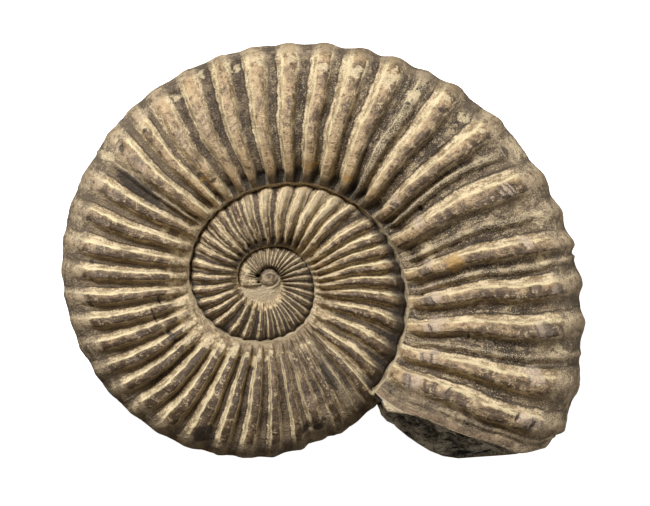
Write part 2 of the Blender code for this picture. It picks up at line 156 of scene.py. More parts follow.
SPOTS = {
    "cream": [
        (40, 0.87, 1.5, 1.3), (58.5, 0.84, 1.9, 2.6), (67, 0.83, 2.2, 1.9), (69.8, 0.85, 1.2, 1.8),
        (75.3, 0.82, 1.7, 1.2), (83.8, 0.88, 1.2, 1.4), (92.5, 0.88, 1.5, 1.3), (98, 0.89, 1.2, 1),
        (107.8, 0.93, 1.1, 1.4), (13, 0.87, 2.2, 1.6), (142, 0.92, 1.3, 2), (116.2, 0.87, 1.2, 1),
        (128.8, 0.84, 1.4, 1), (28.3, 0.97, 2.6, 1.1), (4.5, 0.8, 1.6, 1.2), (35, 0.86, 1.4, 0.8),
        (11.5, 0.15, 2.6, 2), (42.8, 0.17, 1.5, 0.9), (153, 0.22, 1.1, 0.9), (117, 0.09, 1.4, 0.9),
        (-13, 0.87, 1.6, 1.6), (51.8, 0.8, 1.6, 1.9), (45.5, 0.88, 1.4, 1.2), (100.5, 0.92, 1, 1.2),
        (260, 0.12, 2.6, 1.4), (272, 0.09, 2.4, 1), (300, 0.13, 1.8, 1), (245, 0.1, 2.4, 1.4),
        (223.5, 0.93, 1, 1.2), (205, 0.31, 1.2, 0.8), (217.5, 0.24, 1.4, 1.4), (136.5, 0.91, 1.4, 0.8),
    ],
    "dark": [
        (144, 0.57, 1.6, 7), (137.6, 0.86, 0.8, 0.35), (137.8, 0.82, 0.9, 0.3), (44.4, 0.8, 1, 0.6),
        (39.9, 0.83, 0.5, 0.5), (51.6, 0.735, 0.7, 0.4), (25.5, 0.24, 0.8, 0.6), (118, 0.18, 1, 0.5),
        (209.6, 0.29, 1.9, 0.6), (197, 0.335, 2, 0.4), (218.4, 0.345, 1, 0.3), (189.5, 0.25, 1.4, 0.4),
        (290, 0.88, 1.5, 0.9), (285, 0.86, 1.1, 0.9), (292.2, 0.83, 0.7, 0.6), (179.2, 0.78, 0.7, 0.4),
        (-28.4, 0.83, 1.2, 0.35), (-28.4, 0.74, 1.1, 0.35), (-1.6, 0.755, 1.4, 0.25), (8.3, 0.775, 1.2, 0.3),
        (-4.6, 0.285, 1.8, 0.4), (-15, 0.33, 1.2, 0.4), (-31, 0.33, 1.5, 0.3), (122, 0.26, 1, 0.6),
        (303, 0.5, 1.1, 3.6), (247.5, 0.85, 2.4, 2), (28.5, 0.91, 1.6, 0.6),
        (187.4, 0.81, 0.7, 0.6), (173.4, 0.78, 0.7, 0.5), (129, 0.8, 0.6, 0.5),
    ],
    # Glossier bare shell, its pale pinkish colour a painted sheen of reflected light.
    "sheen": [
        (-5.4, 0.13, 1.9, 2.6), (-14.2, 0.14, 2.4, 2), (5.6, 0.12, 2, 1.8), (-24.6, 0.14, 2, 1.8),
        (-34.5, 0.15, 2.2, 2.2), (21.5, 0.19, 1.6, 1.6), (20.6, 0.75, 1.4, 1.8), (8.6, 0.73, 1.3, 1.2),
        (-1.6, 0.72, 1.5, 1), (-1.8, 0.84, 1.4, 1.2), (-10, 0.78, 1.6, 2.6), (-19.4, 0.74, 1.5, 2.4),
        (-28, 0.8, 1.5, 2.6), (138, 0.68, 1.5, 3.2), (150.6, 0.7, 1.5, 2.6), (160.4, 0.72, 1.4, 2.6),
        (169.4, 0.7, 1.3, 2.6), (178.2, 0.7, 1.2, 2.2), (111.6, 0.6, 1.4, 3.4), (120.8, 0.57, 1.2, 3),
        (102.6, 0.52, 1.2, 3), (31.5, 0.16, 2, 1.4), (212, 0.67, 1.2, 1.8), (289.4, 0.6, 1.4, 1.6),
    ],
    "amber": [(5.6, 0.29, 2, 1.9), (51.8, 0.11, 1.4, 0.7), (69.5, 0.11, 2, 0.6), (121.5, 0.22, 1.2, 0.7)],
}

# How far out the mud packed along the seam reaches, and how pale the brown is, by bearing.
MUD_SHARE = np.array([
    (-48, 0.003), (110, 0.003), (128, 0.02), (145, 0.12), (170, 0.20), (190, 0.30), (228, 0.30),
    (240, 0.22), (250, 0.13), (312, 0.15), (340, 0.30), (370, 0.40), (395, 0.32), (420, 0.04),
    (430, 0.004), (520, 0.004), (560, 0.08), (580, 0.20), (640, 0.24), (670, 0.2), (700, 0.1), (915, 0.1),
])
BROWN_TONE = np.array([
    (-48, 0.5), (0, 0.45), (25, 0.5), (60, 0.75), (100, 0.85), (125, 0.8), (145, 0.45), (180, 0.25),
    (225, 0.1), (260, 0.15), (312, 0.15), (350, 0.3), (400, 0.4), (440, 0.7), (470, 0.2), (500, 0.15),
    (540, 0.1), (600, -0.1), (660, -0.1), (720, 0.15), (800, -0.15), (915, 0),
])
# How wide and how dark the painted shadow is in the crevice where the next turn covers an inner one,
# by rib line.
CREVICE_SHADOW_WIDTH = np.array([
    (312, 0.20), (360, 0.20), (395, 0.10), (420, 0.03), (500, 0.04), (530, 0.09), (620, 0.13), (680, 0.14),
    (720, 0.12), (760, 0.05), (915, 0.05),
])
CREVICE_SHADOW_DARK = np.array([
    (312, 1), (385, 1), (405, 0.4), (420, 0.1), (500, 0.1), (530, 0.8), (660, 0.95), (720, 0.9),
])
# How dark the painted shade is at the foot of a turn's inner wall, by rib line.
FOOT_DARK = np.array([
    (-48, 0), (15, 0), (45, 0.85), (100, 0.85), (125, 0), (400, 0), (425, 0.75), (510, 0.75),
    (530, 0), (700, 0), (780, 0.6), (880, 0.6), (915, 0),
])
# Where the dusty rim begins, by bearing.
RIM_SHARE = np.array([
    (-48, 0.82), (0, 0.82), (30, 0.84), (50, 0.9), (110, 0.9), (130, 0.84), (150, 0.8), (200, 0.8),
    (225, 0.84), (312, 0.88),
])
# The first chamber, a dome at the coil's centre, with two holes beside it and mud round it, and the
# middle of the face that closes the coil's inmost end. Holes and mud: x, y and radius, and a height.
# The mud hides this share of the ribs under it.
DOME = (0.45, 0.80)
DOME_RADIUS = 1.75
DOME_FOOT = 2.7
DOME_RISE = 0.9
CENTRE_HOLES = [(-1.8, 1.05, 0.42, -2.2), (-1.65, -0.3, 0.25, -1.0)]
CENTRE_MUD = [
    (-4.5, 2.8, 1), (-4.3, 1.2, 1.5), (-3.9, -0.6, 1.6), (-3, -2, 1.6), (-1.7, -2.6, 1.5),
    (-0.1, -2.8, 1.3), (1.4, -2.6, 1.1), (-2.6, -0.6, 1.1), (0.6, -1.6, 0.9),
]
MUD_COVER = 0.88
HUB = (0.0, -0.5)
UPPER_HUB = 3.2
LOWER_HUB = 1.2
HUB_ROWS = 16
# Smooth lobe of shell at the mouth's seam corner, and hollows in the rock beside it painted black as shadow:
# x, y, radius.
LOBE = [(23.2, -22.2, 1.0), (23.6, -23.4, 1.4), (24.2, -24.8, 1.5), (24.6, -26.0, 1.3)]
LOBE_RISE = 1.5
SHADED_HOLLOWS = [
    (20.9, -21.5, 1.1), (21.6, -22, 0.8), (21.9, -23.2, 0.7), (35, -30, 1), (37.8, -32.4, 1.1),
    (36.4, -31.3, 0.6), (30.8, -30.4, 0.8), (33, -31.8, 0.6), (41.5, -33, 0.7),
]
# What each point of the mesh carries for its colours: half widths from the nearest crest, share, rib
# line, whether it is rock in the mouth, the rib's size, how far its side faces the window light, painted
# shade in crevices, hollows and holes, mud, how pale the brown is, the rib's own bearing, the dusty rim,
# and the first chamber.
MARKS = ("rib", "share", "line", "rock", "size", "sunny", "crevice_shade", "mud", "tone", "mid", "rim", "dome")

LATTICE = np.random.RandomState(11).uniform(-1.0, 1.0, (64, 64, 64))


def lumps(points, size):
    """Smooth random swelling, -1 to 1, of points in millimetres, with lumps about this size."""
    place = points / size
    cell = np.floor(place).astype(int)
    t = place - cell
    t = t * t * (3.0 - 2.0 * t)
    total = np.zeros(points.shape[:-1])
    for corner in product((0, 1), repeat=3):
        weight = np.prod(np.where(corner, t, 1.0 - t), axis=-1)
        x, y, z = np.moveaxis((cell + corner) % 64, -1, 0)
        total += weight * LATTICE[x, y, z]
    return total


def rise(x, start, end):
    """0 before start and 1 after end, with a smooth step between."""
    t = np.clip((x - start) / (end - start), 0.0, 1.0)
    return t * t * (3.0 - 2.0 * t)


def smooth_value(table, x):
    """Values at x of a smooth curve through the table's points, straight on past its ends."""
    places, values = table[:, 0], table[:, 1]
    steps = np.diff(values) / np.diff(places)
    slopes = np.concatenate([steps[:1], (steps[1:] + steps[:-1]) / 2, steps[-1:]])
    i = np.clip(np.searchsorted(places, x, side="right") - 1, 0, len(places) - 2)
    span = places[i + 1] - places[i]
    t = np.clip((x - places[i]) / span, 0.0, 1.0)
    inside = (
        values[i] * (2 * t**3 - 3 * t**2 + 1) + slopes[i] * span * (t**3 - 2 * t**2 + t)
        + values[i + 1] * (3 * t**2 - 2 * t**3) + slopes[i + 1] * span * (t**3 - t**2)
    )
    return inside + steps[i] * (x - places[i] - t * span)


def straight_value(table, x):
    """Values at x of straight lines through the table's points, level past its ends."""
    return np.interp(x, *table.T)


def seam_radius(bearing):
    return smooth_value(SEAM_RADIUS, bearing)


def edge_radius(bearing):
    seam = seam_radius(bearing)
    tucked = seam + (seam_radius(bearing - TURN) - seam) / TUCKED_SHARE
    return np.where(bearing < TUCK, smooth_value(EDGE_RADIUS, bearing), tucked)


def half_thickness(bearing):
    return HALF_THICKNESS * THICKNESS_PER_TURN ** ((MOUTH_BEARING - bearing) / TURN)


def section_point(bearing, share):
    """Radius and height of the smooth tube, without ribs."""
    seam = seam_radius(bearing)
    radius = seam + (edge_radius(bearing) - seam) * share
    top = half_thickness(bearing)
    foot = SEAM_HEIGHT * top
    climb = 1.0 - np.clip((TOP_SHARE - share) / TOP_SHARE, 0.0, 1.0) ** 2
    fall = np.clip((share - TOP_SHARE) / (1.0 - TOP_SHARE), 0.0, 1.0)
    inner = foot + (top - foot) * climb ** straight_value(INNER_SHOULDER, bearing)
    outer = top * np.maximum(1.0 - fall**OUTER_SHOULDER, 0.0) ** (1.0 / OUTER_SHOULDER)
    return radius, np.where(share < TOP_SHARE, inner, outer)


def rib_table():
    """One row a rib: its mid bearing, its swing at the seam and the edge, its half width and height,
    where its crest ends and its foot lies, in half widths, and its height at the edge."""
    rows = [
        (mid, root - mid, edge - mid, width, height, 0.5, 1.2, 1.0 if mid in RIM_BUMPS else height)
        for root, mid, edge, width, height in OUTER_RIBS
    ]
    lip_rib = rows[0]
    rows[0] = (*lip_rib[:5], 0.85, 1.2, lip_rib[4])
    rows += [(mid, -3.5, -1.0, SECOND_HALF_WIDTH, 0.95, 0.22, 1.0, 0.95) for mid in SECOND_RIBS]
    last = THIRD_RIBS[-1]
    inner = [*THIRD_RIBS, *np.arange(last + INNER_RIB_STEP, COIL_END - INNER_RIB_STEP, INNER_RIB_STEP)]
    rows += [(mid, -2.0, -1.0, INNER_HALF_WIDTH, 0.8, 0.3, 1.1, 0.8) for mid in inner]
    return np.array(rows)


RIBS = rib_table()


def rib_swing(line, share):
    """Degrees by which a rib line has swung from its mid bearing."""
    at_root = np.interp(line, RIBS[:, 0], RIBS[:, 1])
    at_edge = np.interp(line, RIBS[:, 0], RIBS[:, 2])
    inward = np.clip((0.5 - share) / (0.5 - RIB_ROOT_SHARE), 0.0, None) ** 1.5
    outward = np.clip((share - 0.5) / 0.5, 0.0, None) ** 1.5
    return at_root * inward + at_edge * outward


def rib_profile(line, share):
    """The ribbing's shape, 0 in the grooves to 1 on the crests, and for the nearest crest how many half
    widths away it is, its size, how far this side of it faces the window light, which sets its painted
    light or shade, and its mid bearing."""
    height = np.zeros_like(line)
    nearest = np.full_like(line, 3.0)
    size = np.full_like(line, 1.0)
    sunny = np.zeros_like(line)
    nearest_mid = np.zeros_like(line)
    rounding = rise(share, ROUND_SHARE, 0.97)
    at_edge = rise(share, 0.84, 0.97)
    for mid, _, _, width, full, crest, foot, edge_full in RIBS:
        width = width + max(RIM_BUMP_WIDTH - width, 0.0) * at_edge * (edge_full > full)
        away = np.abs(line - mid) / width
        full_here = full + (edge_full - full) * at_edge
        closer = away < nearest
        nearest[closer] = away[closer]
        size[closer] = full
        sunny[closer] = (np.sign(line - mid) * np.sin(np.radians(LIGHT_BEARING - mid)))[closer]
        nearest_mid[closer] = mid
        flat = (1.0 - 0.10 * away**2) * (1.0 - rise(away, crest, foot))
        round_top = np.exp(-((away / 0.95) ** 2))
        shape = full_here * (flat + (round_top - flat) * rounding)
        height = np.where(away < 3.0, np.maximum(height, shape), height)
    return {"shape": height, "rib": nearest, "size": size, "sunny": sunny, "mid": nearest_mid}


def patch_field(spots, bearing, share):
    """1 at the middle of the nearest patch, 0 at its edge and down to -1 outside."""
    seam = seam_radius(bearing)
    span = edge_radius(bearing) - seam
    field = np.full_like(bearing, -1.0)
    for at_bearing, at_share, across, along in spots:
        dx = np.radians(bearing - at_bearing) * (seam + span * share) / across
        dy = (share - at_share) * span / along
        field = np.maximum(field, 1.0 - np.hypot(dx, dy))
    return field


def chip_depth(bearing, share):
    """How deep, in millimetres, the upper flank is broken away."""
    deepest = np.zeros_like(bearing)
    for *chip, depth in CHIPS:
        deepest = np.maximum(deepest, depth * np.clip(1.6 * patch_field([chip], bearing, share), 0.0, 1.0))
    return deepest


def mound(points, spots, flat=False):
    """Sum of smooth bumps over x, y, radius and height; flat gives the highest of the bumps alone."""
    total = np.zeros(points.shape[:-1])
    for x, y, radius, *height in spots:
        bump = np.exp(-1.5 * ((points[..., 0] - x) ** 2 + (points[..., 1] - y) ** 2) / radius**2)
        total = np.maximum(total, bump) if flat else total + bump * height[0]
    return total


def shape_centre(points):
    """Lays the dome of the first chamber, with a curved ridge and two holes, over the inmost ribs of the
    upper flank, and says which points lie on it."""
    away = np.hypot(points[..., 0] - DOME[0], points[..., 1] - DOME[1])
    dome = DOME_FOOT + DOME_RISE * np.sqrt(np.clip(1.0 - (away / DOME_RADIUS) ** 2, 0.0, 1.0))
    inside = 1.0 - rise(away, DOME_RADIUS, DOME_RADIUS + 0.5)
    facing = rise(points[..., 0] - DOME[0], -0.3, 0.8)
    ridge = 0.4 * facing * np.exp(-(((away - DOME_RADIUS - 0.35) / 0.22) ** 2))
    points[..., 2] = points[..., 2] * (1.0 - inside) + dome * inside + ridge + mound(points, CENTRE_HOLES)
    return inside


def centre_shadow(points):
    """Painted shade in the holes at the centre and a painted shadow round the upper side of the first
    chamber.
    """
    dx, dy = points[..., 0] - DOME[0], points[..., 1] - DOME[1]
    away = np.hypot(dx, dy)
    ring = np.exp(-(((away - DOME_RADIUS - 0.1) / 0.3) ** 2)) * rise(dy - 0.2 * dx, -0.2, 1.0)
    holes = mound(points, [(x, y, 1.15 * radius) for x, y, radius, _ in CENTRE_HOLES], flat=True)
    return np.maximum(0.75 * ring, rise(holes, 0.25, 0.6))


def seam_shadow(line, share, shape):
    """Painted shadow in the crevice under the next turn, wider in the grooves than on the ribs."""
    width = straight_value(CREVICE_SHADOW_WIDTH, line)
    dirt = rise(share, TUCKED_SHARE - width * (1.3 - 0.5 * shape), TUCKED_SHARE - 0.35 * width)
    return dirt * straight_value(CREVICE_SHADOW_DARK, line)


def rib_strength(bearing, share):
    """Depth of the grooves in millimetres."""
    depth = smooth_value(RIB_RELIEF, bearing) * (edge_radius(bearing) - seam_radius(bearing))
    bare = straight_value(BARE_SHARE, bearing)
    grow = np.clip((share - bare * 0.3) / (bare * 1.6), 0.0, 1.0)
    near_edge = np.clip((share - ROUND_SHARE) / (1.0 - ROUND_SHARE), 0.0, 1.0)
    fade = 1.0 - (1.0 - straight_value(EDGE_RELIEF, bearing)) * near_edge
    return depth * grow * fade


def line_bearing(line, share, lip):
    """Bearing of a rib line at a share, pulled to the broken lip where there is one."""
    bearing = line + rib_swing(line, share)
    if lip is None:
        return bearing
    pull = 1.0 - rise(line, LIP_LINE, LIP_LINE + LIP_PULL)
    at_lip = LIP_LINE + rib_swing(np.full_like(line, LIP_LINE), share)
    return bearing + (smooth_value(lip, share) - at_lip) * pull


def section_normal(bearing, share, step=0.004):
    """Outward direction of the smooth tube: its parts along the radius and upwards."""
    radius_in, height_in = section_point(bearing, np.maximum(share - step, 0.0))
    radius_out, height_out = section_point(bearing, np.minimum(share + step, 1.0))
    along, up = -(height_out - height_in), radius_out - radius_in
    length = np.hypot(along, up)
    middle = share >= 1.0
    return np.where(middle, 1.0, along / length), np.where(middle, 0.0, up / length)


def shell_points(line, share, side, lip=None):
    """Points of the ribbed surface about the coil's centre, with what the stone's colours need."""
    bearing = line_bearing(line, share, lip)
    radius, height = section_point(bearing, share)
    out_radius, out_height = section_normal(bearing, share)
    angle = np.radians(bearing)
    smooth = np.stack([radius * np.cos(angle), radius * np.sin(angle), side * height], axis=-1)
    wander = 0.30 * lumps(smooth, 3.4) + 0.28 * lumps(smooth + 7.0, 1.1)
    profile = rib_profile(line + wander * np.where(line < TUCK, 1.0, 1.6), share)
    shape = profile["shape"]
    cut = rib_strength(bearing, share) * (shape - 1.0)
    scale = np.clip((edge_radius(bearing) - seam_radius(bearing)) / 30.0, 0.1, 1.0)
    cut += scale * sum(depth * lumps(smooth, size) for depth, size in SHELL_LUMPS)
    cut += SEAM_RIDGE * scale * (1.0 - rise(share, 0.003, 0.008)) * (line < SEAM_RIDGE_END)
    tucked = (line > TUCK) * (line < CREVICE_END)
    cut -= CREVICE_DEPTH * scale * rise(share, 0.905, TUCKED_SHARE) * tucked
    middle_mud = rise(mound(smooth, CENTRE_MUD, flat=True), 0.1, 0.6)
    if side > 0.0:
        cut = cut * (1.0 - MUD_COVER * middle_mud) - chip_depth(bearing, share)
    radius = radius + out_radius * cut
    height = np.maximum(height + out_height * cut, 0.0)
    points = np.stack([radius * np.cos(angle), radius * np.sin(angle), side * height], axis=-1)
    dome = shape_centre(points) if side > 0.0 else np.zeros_like(line)
    # Painted shade: the crevice under the next turn, the foot of the inner wall, and the holes and ring at
    # the centre.
    crevice_shade = seam_shadow(line, share, shape) * tucked
    foot = rise(share, 0.003, 0.005) * (1.0 - rise(share, 0.03, 0.09))
    crevice_shade = np.maximum(crevice_shade, straight_value(FOOT_DARK, line) * foot)
    if side > 0.0:
        crevice_shade = np.maximum(crevice_shade, centre_shadow(points))
    mud = np.maximum(1.0 - rise(share, 0.0, straight_value(MUD_SHARE, bearing)), middle_mud)
    marks = profile | {"line": line, "share": share, "crevice_shade": crevice_shade, "mud": mud, "dome": dome}
    marks["tone"] = straight_value(BROWN_TONE, bearing)
    marks["rim"] = (share - straight_value(RIM_SHARE, bearing)) / 0.08 * (line < TUCK)
    marks |= {name: patch_field(spots, bearing, share) for name, spots in SPOTS.items()}
    return points, marks


class Surface:
    """Collects the points, marks and faces of one closed mesh."""

    def __init__(self):
        self.points = []
        self.marks = {name: [] for name in (*MARKS, *SPOTS)}
        self.faces = []
        self.count = 0

    def add(self, points, marks):
        """Adds a block of points and returns their numbers in the block's shape."""
        flat = points.reshape(-1, 3)
        self.points.append(flat)
        for name, values in self.marks.items():
            absent = -1.0 if name in SPOTS else 0.0
            values.append(np.broadcast_to(marks.get(name, absent), points.shape[:-1]).reshape(-1))
        numbers = np.arange(self.count, self.count + len(flat)).reshape(points.shape[:-1])
        self.count += len(flat)
        return numbers

    def place(self, number):
        """The point of a number."""
        for block in self.points:
            if number < len(block):
                return block[number]
            number -= len(block)

    def grid(self, numbers):
        """Quads over a block of rows and columns."""
        a, b = numbers[:-1, :-1].ravel(), numbers[1:, :-1].ravel()
        c, d = numbers[1:, 1:].ravel(), numbers[:-1, 1:].ravel()
        self.faces += np.stack([a, b, c, d], axis=-1).tolist()

    def zip(self, left, left_places, right, right_places):
        """Triangles between two rows whose points lie at different places along them."""
        i, j = 0, 0
        while i < len(left) - 1 or j < len(right) - 1:
            step_left = j == len(right) - 1 or (
                i < len(left) - 1 and left_places[i + 1] <= right_places[j + 1]
            )
            corners = [left[i], right[j], left[i + 1] if step_left else right[j + 1]]
            if len(set(corners)) == 3:
                self.faces.append([int(corner) for corner in corners])
            i, j = (i + 1, j) if step_left else (i, j + 1)


def add_outer_turn(surface, side, shares, lip, lines, edge_row):
    """The last turn's flank on one side, from the lip to where the turn is tucked under the mouth."""
    line, share = np.meshgrid(lines, shares[:-1], indexing="ij")
    points, marks = shell_points(line, share, side, lip)
    return np.concatenate([surface.add(points, marks), edge_row[:, None]], axis=1)


def add_hub(surface, ring, tail, side):
    """The middle of the coil: mud and the first chamber, inside the inmost seam and the strip's end."""
    rim = np.array([surface.place(int(number)) for number in ring])
    middle = np.array([*HUB, UPPER_HUB if side > 0.0 else -LOWER_HUB])
    t = (np.arange(1, HUB_ROWS + 1) / HUB_ROWS)[:, None, None]
    along = np.arange(len(ring)) - (len(ring) - tail)
    slow = rise(along, -8.0, 0.0) * (1.0 - rise(along, tail - 4.0, tail))
    drop = t ** (0.7 + 1.1 * slow)[:, None]
    level = np.broadcast_to(t, drop.shape)
    points = rim + (middle - rim) * np.concatenate([level, level, drop], axis=-1)
    points[-1] = middle
    points[..., 2] += 0.12 * lumps(points, 0.9) * (1.0 - t[..., 0])
    marks = {"rib": 1.5, "line": COIL_END, "size": 1.0, "tone": 0.3}
    if side > 0.0:
        marks["dome"] = shape_centre(points)
        marks["mud"] = mound(points, CENTRE_MUD, flat=True)
        marks["crevice_shade"] = centre_shadow(points)
    marks = {name: np.broadcast_to(value, points.shape[:-1]) for name, value in marks.items()}
    numbers = surface.add(points[:-1], {name: values[:-1] for name, values in marks.items()})
    hub = int(surface.add(points[-1:, 0], {name: values[-1:, 0] for name, values in marks.items()})[0])
    rows = [list(ring)] + [list(row) for row in numbers]
    surface.grid(np.array([row + row[:1] for row in rows]))
    for here, there in zip(rows[-1], rows[-1][1:] + rows[-1][:1]):
        surface.faces.append([hub, int(here), int(there)])


def add_flank(surface, side, shares, inner_shares, lip, lines, edge_row, inner_lines):
    """One side of the coil, and the edges that it leaves open: the lip, and the shell inside the mouth."""
    outer = add_outer_turn(surface, side, shares, lip, lines, edge_row)
    corner = int(outer[0, 0])
    tucked = int(np.sum(shares < TUCKED_SHARE - 0.03))
    first_free = int(np.sum(shares < TUCKED_SHARE + 0.005))
    last = list(outer[-1, :tucked]) + [corner] + list(outer[-1, first_free:])
    last_shares = list(shares[:tucked]) + [TUCKED_SHARE - 0.02] + list(shares[first_free:])
    surface.grid(outer[:-1])
    surface.zip(list(outer[-2]), list(shares), last, last_shares)

    line, share = np.meshgrid(inner_lines, inner_shares, indexing="ij")
    inner = surface.add(*shell_points(line, share, side))
    surface.grid(inner)
    surface.zip(last[: tucked + 1], last_shares[: tucked + 1], list(inner[0]), list(inner_shares))

    seam = list(outer[:, 0]) + list(inner[:, 0])
    seam_places = list(lines + rib_swing(lines, np.zeros_like(lines)))
    seam_places[0] = MOUTH_BEARING
    seam_places += list(inner_lines + rib_swing(inner_lines, np.zeros_like(inner_lines)))
    at_edge = np.full_like(inner_lines, inner_shares[-1])
    edge = [corner] + list(inner[:, -1])
    edge_places = [MOUTH_BEARING] + list(inner_lines + rib_swing(inner_lines, at_edge) - TURN)
    reach = int(np.sum(np.array(seam_places) <= edge_places[-1]))
    surface.zip(edge, edge_places, seam[:reach], seam_places[:reach])

    add_hub(surface, seam[reach - 1 :] + list(inner[-1, 1:]), inner.shape[1] - 1, side)
    return list(outer[0]), [corner] + list(outer[-1, first_free:])


def add_rock(surface, lip, hollow, steps=30):
    """The rough rock in the mouth, from the broken lip to the turn of the shell inside it."""
    lip_points = np.array([surface.place(int(number)) for number in lip])
    hollow_points = np.array([surface.place(int(number)) for number in hollow])
    lip_places = np.linspace(0.0, 1.0, len(lip))
    hollow_places = np.linspace(0.0, 1.0, len(hollow))
    opposite = np.stack([np.interp(lip_places, hollow_places, hollow_points[:, k]) for k in range(3)], -1)
    t = (np.arange(1, steps) / steps)[:, None, None]
    points = lip_points[1:-1] + (opposite[1:-1] - lip_points[1:-1]) * t
    ahead = np.stack([points[..., 1], -points[..., 0], np.zeros(points.shape[:-1])], axis=-1)
    ahead /= np.linalg.norm(ahead, axis=-1, keepdims=True)
    rough = sum(depth * lumps(points, size) for depth, size in ROCK_LUMPS)
    ends = np.minimum(1.0, 8.0 * lip_places[1:-1] * (1.0 - lip_places[1:-1]))
    rough = rough * np.minimum(1.0, 5.0 * t[..., 0]) * ends
    lobe = mound(points, LOBE, flat=True) * rise(points[..., 2] + 2.0 * lumps(points, 4.0), -6.0, 1.0)
    hollow_shade = mound(points, SHADED_HOLLOWS, flat=True)
    points = points + ahead * (rough * (1.0 - lobe) + LOBE_RISE * lobe)[..., None]
    points[..., 2] += LOBE_RISE / 3.0 * lobe
    marks = {"rib": 0.0, "share": 0.5, "line": MOUTH_BEARING, "rock": 1.0}
    marks["mud"] = lobe
    # The hollows are painted black as shadow.
    marks["crevice_shade"] = hollow_shade * (1.0 - lobe)
    numbers = surface.add(points, marks)
    rows = [list(lip)] + [[lip[0]] + list(row) + [lip[-1]] for row in numbers]
    for row, after in zip(rows, rows[1:]):
        surface.zip(row, list(lip_places), after, list(lip_places))
    surface.zip(rows[-1], list(lip_places), list(hollow), list(hollow_places))


def build_surface():
    """The whole fossil: two flanks that share the outer edge, and the rock in the mouth."""
    surface = Surface()
    lines = np.linspace(LIP_LINE, TUCK, 850)
    inner_lines = np.concatenate([np.arange(TUCK + 0.5, 680.0, 0.75), np.arange(680.0, COIL_END, 1.5)])
    upper = np.concatenate([
        [0.0, 0.003, 0.006, 0.010, 0.016, 0.024, 0.034, 0.046, 0.065, 0.09, 0.12],
        np.linspace(0.15, 0.86, 24),
        [0.885, 0.905, 0.925, 0.942, 0.957, 0.97, 0.981, 0.99, 0.996, 1.0],
    ])
    lower = np.concatenate([
        [0.0, 0.02, 0.05, 0.1, 0.16], np.linspace(0.24, 0.8, 8), [0.86, 0.91, 0.95, 0.98, 1.0],
    ])
    upper_inner = TUCKED_SHARE * np.concatenate([
        [0.0, 0.01, 0.02, 0.035, 0.06, 0.09, 0.13],
        np.linspace(0.18, 0.86, 14),
        [0.9, 0.93, 0.955, 0.975, 0.99],
    ])
    lower_inner = TUCKED_SHARE * np.array([0.0, 0.04, 0.1, 0.2, 0.35, 0.5, 0.65, 0.8, 0.9, 0.96])
    edge, marks = shell_points(lines, np.ones_like(lines), 1.0, UPPER_LIP)
    edge_row = surface.add(edge, marks)
    upper_lip, upper_free = add_flank(
        surface, 1.0, upper, upper_inner, UPPER_LIP, lines, edge_row, inner_lines
    )
    lower_lip, lower_free = add_flank(
        surface, -1.0, lower, lower_inner, LOWER_LIP, lines, edge_row, inner_lines
    )
    add_rock(surface, upper_lip + lower_lip[-2::-1], upper_free + lower_free[-2::-1])
    return surface


def coil_to_frame():
    """The turn and shift that lay the coil in the frame."""
    about_x = Matrix.Rotation(math.radians(LEAN_ABOUT_X), 4, "X")
    about_y = Matrix.Rotation(math.radians(LEAN_ABOUT_Y), 4, "Y")
    return Matrix.Translation(Vector(COIL_CENTRE)) @ about_x @ about_y


def make_ammonite():
    """The fossil as one mesh in the frame, cut flat where it rests, with its marks as attributes."""
    surface = build_surface()
    points = np.concatenate(surface.points)
    place = np.array(coil_to_frame())
    points = points @ place[:3, :3].T + place[:3, 3]
    points[:, 2] = np.maximum(points[:, 2], 0.0)
    used = np.unique(np.concatenate([np.array(face) for face in surface.faces]))
    renumber = np.full(len(points), -1)
    renumber[used] = np.arange(len(used))
    faces = [[int(renumber[i]) for i in face] for face in surface.faces]
    mesh = bpy.data.meshes.new("ammonite_fossil")
    mesh.from_pydata((points[used] * MM).tolist(), [], faces)
    for name, values in surface.marks.items():
        mark = mesh.attributes.new(name, "FLOAT", "POINT")
        mark.data.foreach_set("value", np.concatenate(values)[used].astype(np.float32))
    mesh.update()
    ammonite = bpy.data.objects.new("ammonite_fossil", mesh)
    bpy.context.scene.collection.objects.link(ammonite)
    bpy.ops.object.select_all(action="DESELECT")
    bpy.context.view_layer.objects.active = ammonite
    ammonite.select_set(True)
    bpy.ops.object.mode_set(mode="EDIT")
    bpy.ops.mesh.select_all(action="SELECT")
    bpy.ops.mesh.normals_make_consistent(inside=False)
    bpy.ops.object.mode_set(mode="OBJECT")
    bpy.ops.object.shade_smooth()
    ammonite.select_set(False)
    return ammonite


# ---------------------------------------------------------------- materials
def colour(hex_code):
    """Linear RGBA of an sRGB hex colour."""
    parts = [int(hex_code[i : i + 2], 16) / 255 for i in (1, 3, 5)]
    linear = [c / 12.92 if c <= 0.04045 else ((c + 0.055) / 1.055) ** 2.4 for c in parts]
    return (*linear, 1.0)


